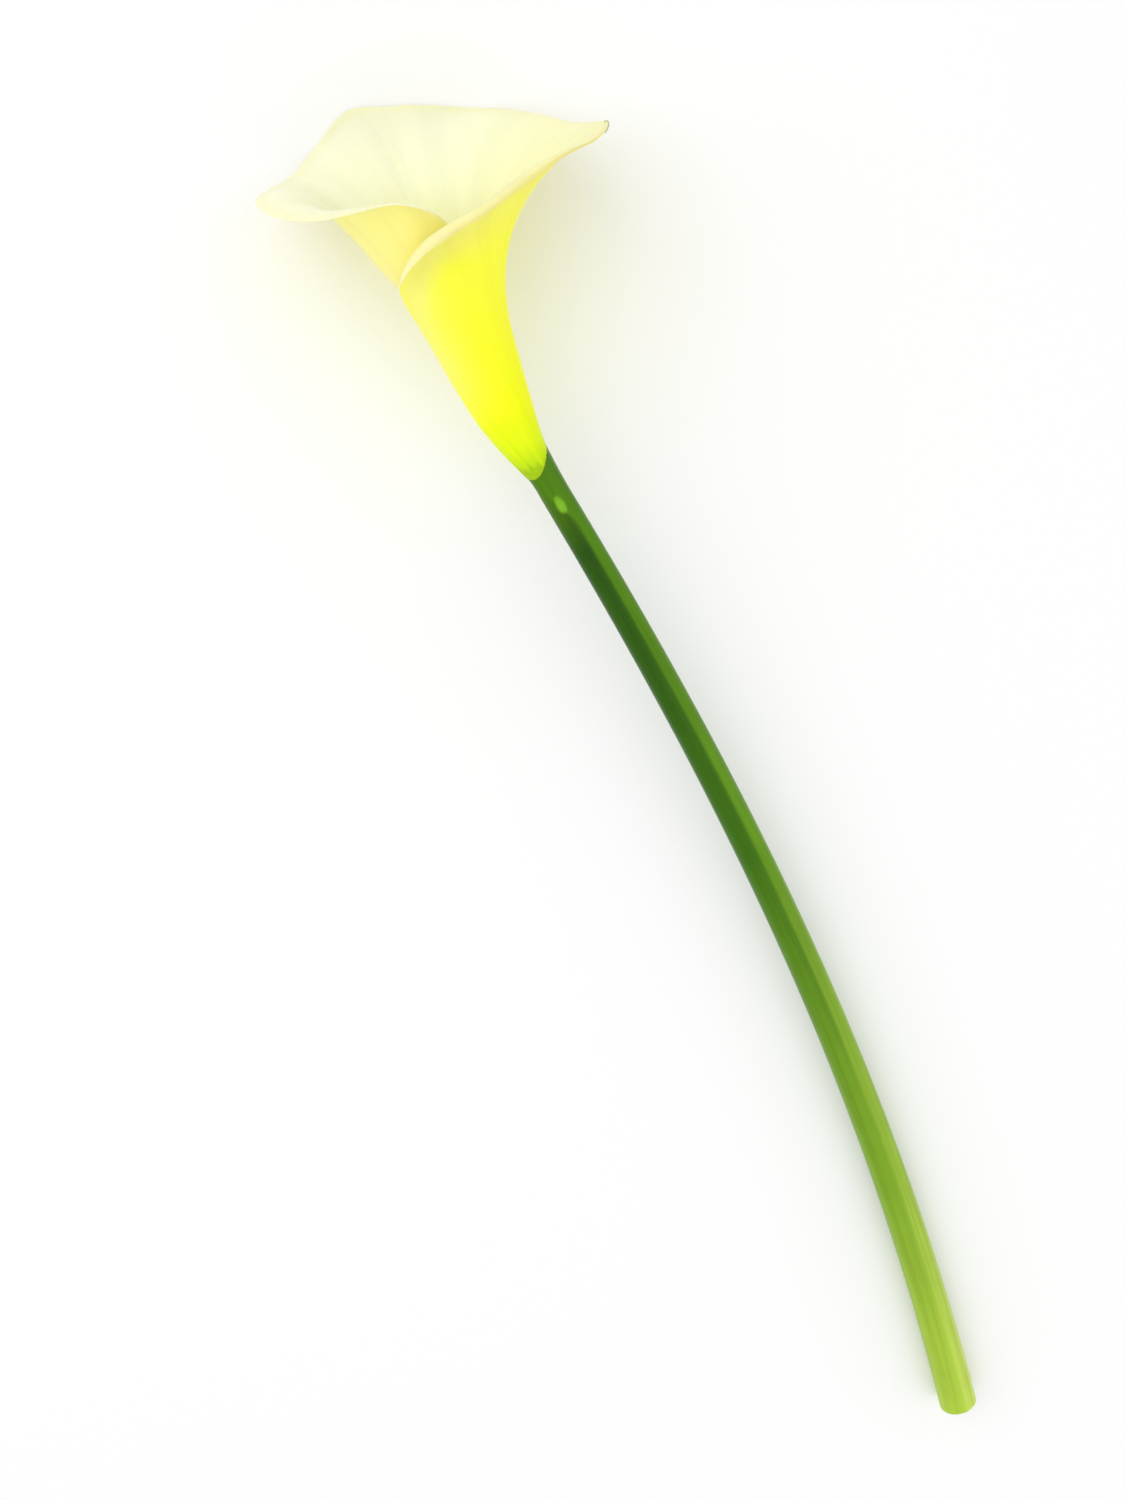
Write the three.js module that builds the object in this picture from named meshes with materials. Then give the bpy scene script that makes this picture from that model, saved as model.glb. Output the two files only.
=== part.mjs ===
// An arum lily flower, picked with its whole stem and laid on its back.
// Units are millimetres and +Z is up. The mouth of the flower points along +X, the foot of the
// stem along -X, and the pointed tip of the spathe lies towards -Y. The surface that the flower
// lies on is z = 0, and the origin is the middle of the bounding box's underside.
//
// The flower has four grown pieces. The spathe is one petal-like sheet, rolled about one and a
// half times round itself into a funnel. The spadix stands inside it, with green ovaries below
// and yellow pollen florets above. The stem carries both.
import * as THREE from 'three';

const { degToRad, lerp, clamp, smoothstep } = THREE.MathUtils;

// Flower frame: "height" runs along the funnel's axis from the spathe's foot, and "angle" turns
// round that axis, from 0 at the spathe's tip (-Y), over 90 (up), to 180 (+Y) and 270 (down).
const AXIS_TILT = 4.4;
const FOOT_LIFT = 26.4;

// Clearance between pieces that grow from one another.
const SEAT_GAP = 0.3;
const SHOULDER_DROP = 0.5;

// Spathe: how thick the sheet is, how far each turn lies outside the last, and how the turns
// close up towards the foot.
const SHEET_THICKNESS = 1.0;
const FOOT_THICKNESS = 0.8;
const ROLL_STEP = 1.7;
const FOOT_ROLL_STEP = 1.2;
const FOOT_ROLL_HEIGHT = 20;
const FOOT_NARROWING = 0.72;
const FANNED_BY_HEIGHT = 40;

// The foot is cut slanting across the stem, and its middle is shifted towards the tip's side.
const FOOT_MID_HEIGHT = 2.6;
const FOOT_SLANT = 4.2;
const FOOT_SLANT_ANGLE = -30;
const FOOT_SHIFT = 3.6;
const FOOT_SHIFT_START = -1;
const FOOT_SHIFT_FADE = 11;

// How softly the back of the mouth flattens where it rests on the surface, and the slight arch
// that is left in the flat, so that the mouth stands on its two ends.
const REST_SOFTNESS = 1.6;
const REST_ARCH_RISE = 0.4;
const REST_ARCH_MIDDLE = -1.7;
const REST_ARCH_HALF = 19;

// How strongly the flare leaves the tube and meets the crest.
const FLARE_PULL = 1.35;
const EDGE_PULL = 1.15;

// The least height of plain tube under a flare, and the height over which its slope is read.
const LEAST_TUBE = 1;
const SLOPE_SPAN = 1;

// How finely the sheet is divided, along its edge and from the foot to the edge.
const INNER_COLUMNS = 54;
const OUTER_COLUMNS = 32;
const TIP_HALF_ANGLE = 13;
const TIP_COLUMN_DENSITY = 2.5;
const TUBE_ROWS = 10;
const FLARE_ROWS = 13;
const LIP_ROWS = 3;

// Radius of the rolled tube at heights above the foot.
const TUBE = [
  [-3, 3.6], [0, 4.0], [4, 4.7], [8, 5.45], [12, 6.2], [16, 6.95], [20, 7.55], [24, 8.1],
  [28, 8.7], [32, 9.2], [36, 9.7], [40, 10.25], [44, 10.95], [48, 11.6], [52, 12.4], [56, 13.6],
  [60, 15.2], [64, 16.7], [68, 18.1], [72, 19.4], [80, 22.5],
];

// The sheet's whole crest line, from the margin rolled innermost, round the back of the mouth,
// past the tip, to the margin rolled outermost. Each row is the angle, the crest's radius and
// height, how far the sheet is turned outward there from the axis in degrees, the height over
// which it flares, and how far its lip curls on past the crest.
const RADIUS = 1;
const HEIGHT = 2;
const TURN = 3;
const FLARE = 4;
const CURL = 5;
const EDGE = [
  [-318, 4.55, 8, 3, 4, 12],
  [-312, 8.0, 34, 6, 10, 12],
  [-302, 11.6, 54, 10, 12, 12],
  [-290, 15.1, 64.5, 22, 13, 14],
  [-280, 18.9, 69, 48, 15, 20],
  [-268, 22.6, 73, 72, 17.5, 30],
  [-255, 25.5, 76.1, 88, 18, 35],
  [-240, 29, 77.4, 98, 20, 38],
  [-224, 32.5, 79.1, 102, 22, 42],
  [-208, 34.9, 82.5, 102, 24, 46],
  [-192, 37.1, 86.8, 96, 26, 46],
  [-176, 38.4, 91, 88, 29, 38],
  [-158, 38.7, 93.4, 76, 33, 30],
  [-138, 38.6, 95.8, 62, 39, 24],
  [-120, 39.0, 101.6, 54, 46, 18],
  [-103, 39.5, 106.4, 52, 51, 18],
  [-85, 39.8, 102.8, 55, 50, 20],
  [-65, 40.3, 97.9, 62, 50, 20],
  [-45, 41.6, 92, 70, 48, 20],
  [-27, 43.4, 85.8, 78, 45, 16],
  [-13, 46.2, 80.2, 84, 43, 13],
  [-4, 50.4, 77.6, 84, 41, 12],
  [0, 53.6, 76.6, 80, 41, 12],
  [4, 51.6, 74.6, 86, 40, 12],
  [9, 48.2, 72.9, 92, 39, 14],
  [16, 44.8, 72.4, 97, 37, 22],
  [28, 39.6, 71.6, 100, 34, 45],
  [42, 33.2, 69.6, 100, 31, 80],
  [58, 27.4, 67.6, 98, 26, 110],
  [76, 24, 66.4, 95, 20, 125],
  [96, 21.8, 64.8, 92, 14, 130],
  [114, 19.3, 61.9, 90, 11, 112],
  [131, 16.9, 58.4, 80, 9, 80],
  [150, 14.5, 55, 62, 7, 36],
  [172, 12.8, 49.8, 45, 6, 14],
  [194, 11.8, 43, 36, 6, 12],
  [213, 10.1, 30, 24, 6, 12],
  [226, 7.3, 12.5, 16, 5, 12],
];

// How tightly the lip curls past the crest.
const LIP_RADIUS = 1.5;

// Stem: length from the spathe's foot to the cut, thickness, and its bend in plan. Its foot
// rests on the surface and its top carries the flower clear of it.
const STEM_LENGTH = 315;
const STEM_TOP_RADIUS = 4.05;
const STEM_FOOT_RADIUS = 5.6;
const STEM_LEAN_TOP = 9.3;
const STEM_LEAN_FOOT = -7;
const STEM_BEND_POWER = 1.3;
const STEM_RISE_POWER = 1.7;
const STEM_SIDES = 20;
const STEM_RINGS = 42;
const STEM_SHOULDER_LENGTH = 7;
const STEM_RIDGES = 3;
const STEM_RIDGE_SHARE = 0.02;

// Receptacle: the neck at the stem's top inside the spathe's foot.
const NECK_RADIUS = 2.2;
const NECK_TOP_RADIUS = 2.8;
const NECK_TOP_HEIGHT = 8;

// Spadix: its two zones, as heights in the flower frame.
const OVARY_TOP_HEIGHT = 21;
const OVARY_RADIUS = 3.0;
const OVARY_RELIEF = 0.7;
const OVARIES_AROUND = 8;
const OVARY_RING_PITCH = 1.35;
const POLLEN_TOP_HEIGHT = 58;
const POLLEN_RADIUS = 3.75;
const POLLEN_TIP_RADIUS = 2.5;
const POLLEN_TIP_LENGTH = 6;
const POLLEN_RELIEF = 0.6;
const FLORETS_AROUND = 12;
const FLORET_RING_PITCH = 0.98;

// Reads one column of a table by its first column, as a smooth curve through every row.
function readTable(table, x, column) {
  let i = 0;
  while (i < table.length - 2 && x > table[i + 1][0]) i += 1;
  const slopeAt = (k) => {
    const before = table[Math.max(k - 1, 0)];
    const after = table[Math.min(k + 1, table.length - 1)];
    return (after[column] - before[column]) / (after[0] - before[0]);
  };
  const span = table[i + 1][0] - table[i][0];
  const s = clamp((x - table[i][0]) / span, 0, 1);
  const rise = table[i + 1][column] - table[i][column];
  const startBend = slopeAt(i) * span - rise;
  const endBend = rise - slopeAt(i + 1) * span;
  return table[i][column] + s * rise + s * (1 - s) * ((1 - s) * startBend + s * endBend);
}

// Places a point of the flower frame, with its angle in degrees, in the world.
function placeInFlower(radius, angle, height) {
  const shift = FOOT_SHIFT * Math.exp((FOOT_SHIFT_START - height) / FOOT_SHIFT_FADE);
  const side = radius * Math.cos(degToRad(angle)) + shift;
  const lift = radius * Math.sin(degToRad(angle));
  const tilt = degToRad(AXIS_TILT);
  return new THREE.Vector3(
    height * Math.cos(tilt) - lift * Math.sin(tilt),
    -side,
    FOOT_LIFT + height * Math.sin(tilt) + lift * Math.cos(tilt),
  );
}

// Height of the slanting foot at an angle round the axis.
function footHeight(angle) {
  return FOOT_MID_HEIGHT + FOOT_SLANT * Math.cos(degToRad(angle - FOOT_SLANT_ANGLE));
}

// The angle that a lengthwise line of the sheet has turned to at a height. Lines fan out from
// the foot, as the veins do, until the tube is as wide as its roll.
function fannedAngle(edgeAngle, height) {
  return edgeAngle * lerp(FOOT_NARROWING, 1, smoothstep(height, 0, FANNED_BY_HEIGHT));
}

// Radius of the rolled tube, where each turn lies outside the one before it.
function tubeRadius(edgeAngle, height) {
  const step = lerp(FOOT_ROLL_STEP, ROLL_STEP, smoothstep(height, 0, FOOT_ROLL_HEIGHT));
  return readTable(TUBE, height, RADIUS) + (step * fannedAngle(edgeAngle, height)) / 360;
}

// One lengthwise line of the sheet's middle surface: straight up the tube, then a curve that
// flares out to the crest at "edgeAngle", then the arc of the curled lip.
function sheetLine(edgeAngle) {
  const [edgeRadius, edgeHeight, edgeTurn, flare, curl] = [RADIUS, HEIGHT, TURN, FLARE, CURL]
    .map((column) => readTable(EDGE, edgeAngle, column));
  const turn = degToRad(edgeTurn);
  const foot = footHeight(edgeAngle * FOOT_NARROWING);
  const throat = Math.max(edgeHeight - flare, foot + LEAST_TUBE);
  const throatRadius = tubeRadius(edgeAngle, throat);
  const widening = tubeRadius(edgeAngle, throat + SLOPE_SPAN / 2)
    - tubeRadius(edgeAngle, throat - SLOPE_SPAN / 2);
  const throatSlope = widening / SLOPE_SPAN;
  const reach = Math.hypot(edgeRadius - throatRadius, edgeHeight - throat);
  const line = [];
  for (let j = 0; j < TUBE_ROWS; j += 1) {
    const height = lerp(foot, throat, j / TUBE_ROWS);
    line.push([tubeRadius(edgeAngle, height), height]);
  }
  for (let j = 0; j <= FLARE_ROWS; j += 1) {
    const u = j / FLARE_ROWS;
    const start = (1 + 2 * u) * (1 - u) ** 2;
    const leave = u * (1 - u) ** 2 * FLARE_PULL * reach;
    const arrive = u * u * (u - 1) * EDGE_PULL * reach;
    const radius = start * throatRadius + leave * throatSlope
      + (1 - start) * edgeRadius + arrive * Math.sin(turn);
    const height = start * throat + leave + (1 - start) * edgeHeight + arrive * Math.cos(turn);
    line.push([radius, height]);
  }
  for (let j = 1; j <= LIP_ROWS; j += 1) {
    const curled = turn + degToRad((curl * j) / LIP_ROWS);
    line.push([
      edgeRadius + LIP_RADIUS * (Math.cos(turn) - Math.cos(curled)),
      edgeHeight + LIP_RADIUS * (Math.sin(curled) - Math.sin(turn)),
    ]);
  }
  return line.map(([radius, height]) => placeInFlower(radius, fannedAngle(edgeAngle, height), height));
}

// Lifts what would sink through the resting surface, with a soft start and a slightly arched flat.
function restOnSurface(point, halfThickness) {
  const across = (point.y - REST_ARCH_MIDDLE) / REST_ARCH_HALF;
  const least = halfThickness + REST_ARCH_RISE * Math.max(1 - across ** 2, 0);
  const depth = point.z - least;
  if (depth < -REST_SOFTNESS) {
    point.z = least;
  } else if (depth < REST_SOFTNESS) {
    point.z = least + (depth + REST_SOFTNESS) ** 2 / (4 * REST_SOFTNESS);
  }
}

// Closed solid between two faces of a grid of points. Both faces are split into triangles
// along the same diagonals.
function sheetSolid(middle, thicknessAt) {
  const columns = middle.length;
  const rows = middle[0].length;
  const positions = [];
  for (const side of [1, -1]) {
    for (let i = 0; i < columns; i += 1) {
      for (let j = 0; j < rows; j += 1) {
        const across = new THREE.Vector3().subVectors(
          middle[Math.min(i + 1, columns - 1)][j],
          middle[Math.max(i - 1, 0)][j],
        );
        const up = new THREE.Vector3().subVectors(
          middle[i][Math.min(j + 1, rows - 1)],
          middle[i][Math.max(j - 1, 0)],
        );
        const normal = across.cross(up).normalize();
        const point = middle[i][j].clone().addScaledVector(normal, (side * thicknessAt(j)) / 2);
        positions.push(point.x, point.y, point.z);
      }
    }
  }
  const at = (i, j) => i * rows + j;
  const back = columns * rows;
  const index = [];
  const quad = (a, b, c, d) => index.push(a, b, c, a, c, d);
  for (let i = 0; i < columns - 1; i += 1) {
    for (let j = 0; j < rows - 1; j += 1) {
      const [a, b, c, d] = [at(i, j), at(i + 1, j), at(i + 1, j + 1), at(i, j + 1)];
      quad(a, b, c, d);
      index.push(back + a, back + c, back + b, back + a, back + d, back + c);
    }
    quad(at(i, 0) + back, at(i + 1, 0) + back, at(i + 1, 0), at(i, 0));
    quad(at(i, rows - 1), at(i + 1, rows - 1), at(i + 1, rows - 1) + back, at(i, rows - 1) + back);
  }
  for (let j = 0; j < rows - 1; j += 1) {
    quad(at(0, j), at(0, j + 1), at(0, j + 1) + back, at(0, j) + back);
    const last = columns - 1;
    quad(at(last, j) + back, at(last, j + 1) + back, at(last, j + 1), at(last, j));
  }
  return indexedGeometry(positions, index);
}

// Closed solid skinned over a row of rings with equal numbers of points, with flat ends.
function ringSolid(rings) {
  const sides = rings[0].length;
  const positions = rings.flat().flatMap((point) => [point.x, point.y, point.z]);
  const index = [];
  for (let k = 0; k < rings.length - 1; k += 1) {
    for (let i = 0; i < sides; i += 1) {
      const a = k * sides + i;
      const b = k * sides + ((i + 1) % sides);
      index.push(a, b + sides, b, a, a + sides, b + sides);
    }
  }
  for (const [k, turn] of [[0, -1], [rings.length - 1, 1]]) {
    const centre = new THREE.Vector3();
    rings[k].forEach((point) => centre.addScaledVector(point, 1 / sides));
    const hub = positions.length / 3;
    positions.push(centre.x, centre.y, centre.z);
    for (let i = 0; i < sides; i += 1) {
      const a = k * sides + i;
      const b = k * sides + ((i + 1) % sides);
      index.push(...(turn > 0 ? [b, a, hub] : [a, b, hub]));
    }
  }
  return indexedGeometry(positions, index);
}

function indexedGeometry(positions, index) {
  const geometry = new THREE.BufferGeometry();
  geometry.setAttribute('position', new THREE.Float32BufferAttribute(positions, 3));
  geometry.setIndex(index);
  geometry.computeVertexNormals();
  return geometry;
}

// The angles of the sheet's columns from one angle to another: evenly spaced along its edge,
// and closer together near the pointed tip.
function columnAngles(from, to, count) {
  const edgePoint = (angle) => {
    const radius = readTable(EDGE, angle, RADIUS);
    return placeInFlower(radius, angle, readTable(EDGE, angle, HEIGHT));
  };
  const lengths = [0];
  for (let angle = from + 1; angle <= to; angle += 1) {
    const density = Math.abs(angle) <= TIP_HALF_ANGLE ? TIP_COLUMN_DENSITY : 1;
    const step = edgePoint(angle).distanceTo(edgePoint(angle - 1)) * density;
    lengths.push(lengths[lengths.length - 1] + step);
  }
  const total = lengths[lengths.length - 1];
  const angles = [];
  let k = 0;
  for (let i = 0; i <= count; i += 1) {
    const target = (total * i) / count;
    while (k < lengths.length - 2 && lengths[k + 1] < target) k += 1;
    angles.push(from + k + (target - lengths[k]) / (lengths[k + 1] - lengths[k]));
  }
  return angles;
}

// Spathe: the columns from the innermost margin to the tip, then on to the outermost margin.
function makeSpathe() {
  const innerAngles = columnAngles(EDGE[0][0], 0, INNER_COLUMNS);
  const outerAngles = columnAngles(0, EDGE[EDGE.length - 1][0], OUTER_COLUMNS);
  const middle = [...innerAngles, ...outerAngles.slice(1)].map((angle) => {
    const line = sheetLine(angle);
    line.forEach((point) => restOnSurface(point, SHEET_THICKNESS / 2));
    return line;
  });
  const thicknessAt = (j) => lerp(FOOT_THICKNESS, SHEET_THICKNESS, clamp(j / TUBE_ROWS, 0, 1));
  return sheetSolid(middle, thicknessAt);
}

// A ring of points round a centre on the stem's line, square to the stem's direction.
function stemRing(centre, direction, radius) {
  const side = new THREE.Vector3(0, 0, 1).cross(direction).normalize();
  const up = new THREE.Vector3().crossVectors(direction, side);
  const ring = [];
  for (let i = 0; i < STEM_SIDES; i += 1) {
    const angle = (2 * Math.PI * i) / STEM_SIDES;
    const ridged = radius * (1 + STEM_RIDGE_SHARE * Math.cos(STEM_RIDGES * angle));
    ring.push(centre.clone()
      .addScaledVector(side, -ridged * Math.cos(angle))
      .addScaledVector(up, ridged * Math.sin(angle)));
  }
  return ring;
}

// Stem: rings from the cut foot up to the slanting shoulder that the spathe grows from, then
// the neck inside the spathe's foot.
function makeStem() {
  const start = placeInFlower(0, 0, FOOT_SHIFT_START);
  const startLift = start.z - STEM_TOP_RADIUS;
  const step = STEM_LENGTH / STEM_RINGS;
  const rings = [];
  const centre = start.clone();
  for (let k = 0; k <= STEM_RINGS; k += 1) {
    const share = k / STEM_RINGS;
    const lean = degToRad(lerp(STEM_LEAN_TOP, STEM_LEAN_FOOT, share ** STEM_BEND_POWER));
    const radius = lerp(STEM_TOP_RADIUS, STEM_FOOT_RADIUS, share);
    const lift = startLift * (1 - share) ** STEM_RISE_POWER;
    const fall = (startLift * STEM_RISE_POWER * (1 - share) ** (STEM_RISE_POWER - 1)) / STEM_LENGTH;
    centre.z = radius + lift;
    const direction = new THREE.Vector3(Math.cos(lean), Math.sin(lean), fall).normalize();
    if (k * step >= STEM_SHOULDER_LENGTH) rings.unshift(stemRing(centre, direction, radius));
    centre.x -= Math.cos(lean) * step;
    centre.y -= Math.sin(lean) * step;
  }
  const shoulderHeight = (angle) => footHeight(angle) - SHOULDER_DROP;
  rings.push(flowerRing((angle) => [tubeRadius(0, footHeight(angle)), shoulderHeight(angle)]));
  rings.push(flowerRing((angle) => [NECK_RADIUS, shoulderHeight(angle)]));
  rings.push(flowerRing(() => [NECK_TOP_RADIUS, NECK_TOP_HEIGHT]));
  return ringSolid(rings);
}

// A ring in the flower frame, with the radius and height that a rule gives at each angle.
function flowerRing(rule) {
  const ring = [];
  for (let i = 0; i < STEM_SIDES; i += 1) {
    const angle = (360 * i) / STEM_SIDES;
    const [radius, height] = rule(angle);
    ring.push(placeInFlower(radius, angle, height));
  }
  return ring;
}

// Spadix zone: a core covered with florets, as bosses standing in alternate rows.
function makeZone({ bottom, top, around, pitch, relief, coreRadiusAt }) {
  const sides = 2 * around;
  const rows = Math.round((top - bottom) / pitch);
  const rings = [];
  for (let k = 0; k <= rows; k += 1) {
    const height = lerp(bottom, top, k / rows);
    const ring = [];
    for (let i = 0; i < sides; i += 1) {
      const raised = (i + k) % 2 === 0 && k > 0 && k < rows;
      const radius = coreRadiusAt(height) + (raised ? relief : 0);
      ring.push(placeInFlower(radius, (360 * i) / sides, height));
    }
    rings.push(ring);
  }
  return ringSolid(rings);
}

function makeOvaries() {
  return makeZone({
    bottom: NECK_TOP_HEIGHT + SEAT_GAP,
    top: OVARY_TOP_HEIGHT,
    around: OVARIES_AROUND,
    pitch: OVARY_RING_PITCH,
    relief: OVARY_RELIEF,
    coreRadiusAt: () => OVARY_RADIUS,
  });
}

// The core of the upper zone narrows to a blunt round tip.
function makePollenFlorets() {
  return makeZone({
    bottom: OVARY_TOP_HEIGHT + SEAT_GAP,
    top: POLLEN_TOP_HEIGHT,
    around: FLORETS_AROUND,
    pitch: FLORET_RING_PITCH,
    relief: POLLEN_RELIEF,
    coreRadiusAt: (height) => {
      const left = clamp((POLLEN_TOP_HEIGHT - height) / POLLEN_TIP_LENGTH, 0, 1);
      return lerp(POLLEN_TIP_RADIUS, POLLEN_RADIUS, Math.sqrt(left * (2 - left)));
    },
  });
}

function addPiece(group, name, geometry, color, roughness) {
  const material = new THREE.MeshStandardMaterial({ color, roughness, metalness: 0 });
  const mesh = new THREE.Mesh(geometry, material);
  mesh.name = name;
  group.add(mesh);
}

const group = new THREE.Group();
addPiece(group, 'spathe', makeSpathe(), 0xfbf6c8, 0.5);
addPiece(group, 'spadix_ovaries', makeOvaries(), 0x8fae4a, 0.55);
addPiece(group, 'spadix_pollen_florets', makePollenFlorets(), 0xf2c230, 0.9);
addPiece(group, 'stem', makeStem(), 0x4c7d14, 0.35);

// Stand the model with its bounding box's underside centred on the origin.
const box = new THREE.Box3().setFromObject(group);
const centre = box.getCenter(new THREE.Vector3());
group.position.set(-centre.x, -centre.y, -box.min.z);

export default group;
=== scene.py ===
import math
import random

import bpy
import numpy as np
from mathutils import Matrix, Vector, noise


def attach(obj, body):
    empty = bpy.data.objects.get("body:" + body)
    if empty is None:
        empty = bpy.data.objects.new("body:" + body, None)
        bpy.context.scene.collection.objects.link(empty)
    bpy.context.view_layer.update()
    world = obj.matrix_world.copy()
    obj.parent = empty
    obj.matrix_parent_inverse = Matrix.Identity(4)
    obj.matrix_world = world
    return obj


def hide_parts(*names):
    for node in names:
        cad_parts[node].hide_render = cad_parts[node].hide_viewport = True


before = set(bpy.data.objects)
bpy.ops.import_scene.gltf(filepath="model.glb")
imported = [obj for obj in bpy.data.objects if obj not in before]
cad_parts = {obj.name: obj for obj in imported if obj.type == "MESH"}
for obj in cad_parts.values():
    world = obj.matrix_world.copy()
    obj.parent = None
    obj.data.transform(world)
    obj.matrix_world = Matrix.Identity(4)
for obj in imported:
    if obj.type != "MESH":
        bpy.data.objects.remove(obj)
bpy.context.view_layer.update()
bpy.ops.object.select_all(action="DESELECT")

# Spathe: one fleshy petal-like sheet, under a millimetre thick, rolled about one and a half times
# round itself into a funnel. It grows from the stem's slanting shoulder, and its mouth flares out
# to a thin rim that ends in a small hooked point.
MM = 0.001
SHEET_THICKNESS = 0.95
RIM_THICKNESS = 0.42
EDGE_ROUNDING = 0.14
EDGE_ROUNDING_STEPS = 2
SHARP_FROM_ANGLE = 55

# The funnel's axis rises a little from its foot, where it bends over to one side.
SPATHE_FOOT = Vector((103.0, 7.21, 26.4)) * MM
AXIS_TILT = math.radians(4.4)
UPWARD = 90
FOOT_SHIFT = 3.6
FOOT_SHIFT_START = -1
FOOT_SHIFT_FADE = 11

# The slanting line that the sheet grows from, and its veins, which fan out above it.
FOOT_MID_HEIGHT = 2.6
FOOT_SLANT = 4.6
FOOT_SLANT_ANGLE = -48
FOOT_NARROWING = 0.72
FANNED_BY_HEIGHT = 40
ROOT_DEPTH = 0.6

# How much wider each turn of the roll is than the one within it, and how strongly the flare's
# curve leaves the tube and arrives at its crest, where the lip curls over.
ROLL_STEP = 1.7
FOOT_ROLL_STEP = 1.2
FOOT_ROLL_HEIGHT = 20
LEAST_TUBE_LENGTH = 1
FLARE_PULL = 1.35
EDGE_PULL = 1.15
LIP_RADIUS = 1.5

# Radius of the rolled tube at heights above the foot.
TUBE_RADIUS = 1
TUBE = (
    (-3, 3.6), (0, 4.0), (4, 4.7), (8, 5.45), (12, 6.2), (16, 6.95), (20, 7.55), (24, 8.1),
    (28, 8.7), (32, 9.2), (36, 9.7), (40, 10.25), (44, 10.95), (48, 11.6), (52, 12.4), (56, 13.6),
    (60, 15.2), (64, 16.7), (68, 18.1), (72, 19.4), (80, 22.5),
)

# The sheet's crest line from its innermost margin, round the back, past the tip and on to its
# outermost margin: angle, radius, height, outward turn, flare height, and the lip's further curl.
EDGE_RADIUS, EDGE_HEIGHT = 1, 2
EDGE = (
    (-318, 4.55, 8, 3, 4, 12),
    (-312, 8.0, 34, 6, 10, 12),
    (-302, 11.6, 54, 10, 12, 12),
    (-290, 15.1, 64.5, 22, 13, 14),
    (-280, 18.9, 69, 48, 15, 20),
    (-268, 22.6, 73, 72, 17.5, 30),
    (-255, 25.5, 76.1, 88, 18, 35),
    (-240, 29, 77.4, 98, 20, 38),
    (-224, 32.5, 79.1, 102, 22, 42),
    (-208, 34.9, 82.5, 102, 24, 46),
    (-192, 37.1, 86.8, 96, 26, 46),
    (-176, 38.4, 91, 88, 29, 38),
    (-158, 38.7, 93.4, 76, 33, 30),
    (-138, 38.6, 95.8, 62, 39, 24),
    (-120, 39.0, 101.6, 54, 46, 18),
    (-103, 39.5, 106.4, 52, 51, 18),
    (-85, 39.8, 102.8, 55, 50, 20),
    (-65, 40.3, 97.9, 62, 50, 20),
    (-45, 41.6, 92, 70, 48, 20),
    (-27, 43.4, 85.8, 78, 45, 16),
    (-13, 46.2, 80.2, 84, 43, 13),
    (-4, 50.4, 77.6, 84, 41, 12),
    (0, 52.7, 76.4, 80, 41, 12),
    (4, 51.6, 74.6, 86, 40, 12),
    (9, 48.2, 72.9, 92, 39, 14),
    (16, 44.8, 72.4, 97, 37, 22),
    (28, 39.6, 71.6, 100, 34, 45),
    (42, 33.2, 69.6, 100, 31, 80),
    (58, 27.4, 67.6, 98, 26, 110),
    (76, 24, 66.4, 95, 20, 125),
    (96, 21.8, 64.8, 92, 14, 130),
    (114, 19.3, 61.9, 90, 11, 112),
    (131, 16.9, 58.4, 80, 9, 80),
    (150, 14.5, 55, 62, 7, 36),
    (172, 12.8, 49.8, 45, 6, 14),
    (194, 11.8, 43, 36, 6, 12),
    (213, 10.1, 30, 24, 6, 12),
    (226, 7.3, 12.5, 16, 5, 12),
)

# Soft lengthwise folds of the flare: angle, half width and depth. They grow over the first range
# of the flare and flatten a little over the second, at the rim. A finer unevenness lies all over.
FOLDS = (
    (-232, 12, 0.4), (-178, 12, 0.3), (-140, 9, -0.25), (-112, 8, 0.3), (-93, 6, -0.35),
    (-78, 5, 0.4), (-62, 6, -0.35), (-42, 8, 0.3), (22, 9, 0.25), (55, 9, -0.25), (85, 9, 0.25),
)
FOLDS_GROW = (0.1, 0.8)
FOLDS_FLATTEN = (0.9, 1.0)
FLATTENED_BY = 0.6
UNEVEN_DEPTH = 0.12
UNEVEN_ANGLE = 9
UNEVEN_HEIGHT = 60
UNEVEN_SEED = 3.7

# How softly the back of the mouth flattens on the table, and the slight arch left in the flat.
REST_SOFTNESS = 1.6
REST_ARCH_RISE = 0.4
REST_ARCH_MIDDLE = 5.5
REST_ARCH_HALF = 19

# The sheet's grid, and the fineness of the curves that it follows.
SHEET_COLUMNS = 280
TUBE_ROWS = 40
FLARE_ROWS = 76
SHEET_ROWS = TUBE_ROWS + FLARE_ROWS
CURVE_STEPS = 90
LIP_STEPS = 24
ANGLE_STEP = 0.5
TIP_HALF_ANGLE = 13
TIP_FINENESS = 2.0

# The length that counts as 1 in the sheet's height and margin attributes.
MAPPED_LENGTH = 100


def lerp(a, b, share):
    return a + (b - a) * share


def smooth(low, high, x):
    """0 below low, 1 above high, and a smooth rise between them."""
    share = min(max((x - low) / (high - low), 0), 1)
    return share * share * (3 - 2 * share)


def swept(u, start, leaving, end, arriving):
    """The smooth curve from start to end that leaves and arrives along two directions."""
    early = (1 + 2 * u) * (1 - u) ** 2
    pulled = u * (1 - u) ** 2 * leaving + u * u * (u - 1) * arriving
    return early * start + (1 - early) * end + pulled


def running_lengths(radii, heights):
    """How far along a curve each of its points lies."""
    return np.append(0, np.cumsum(np.hypot(np.diff(radii), np.diff(heights))))


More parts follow.
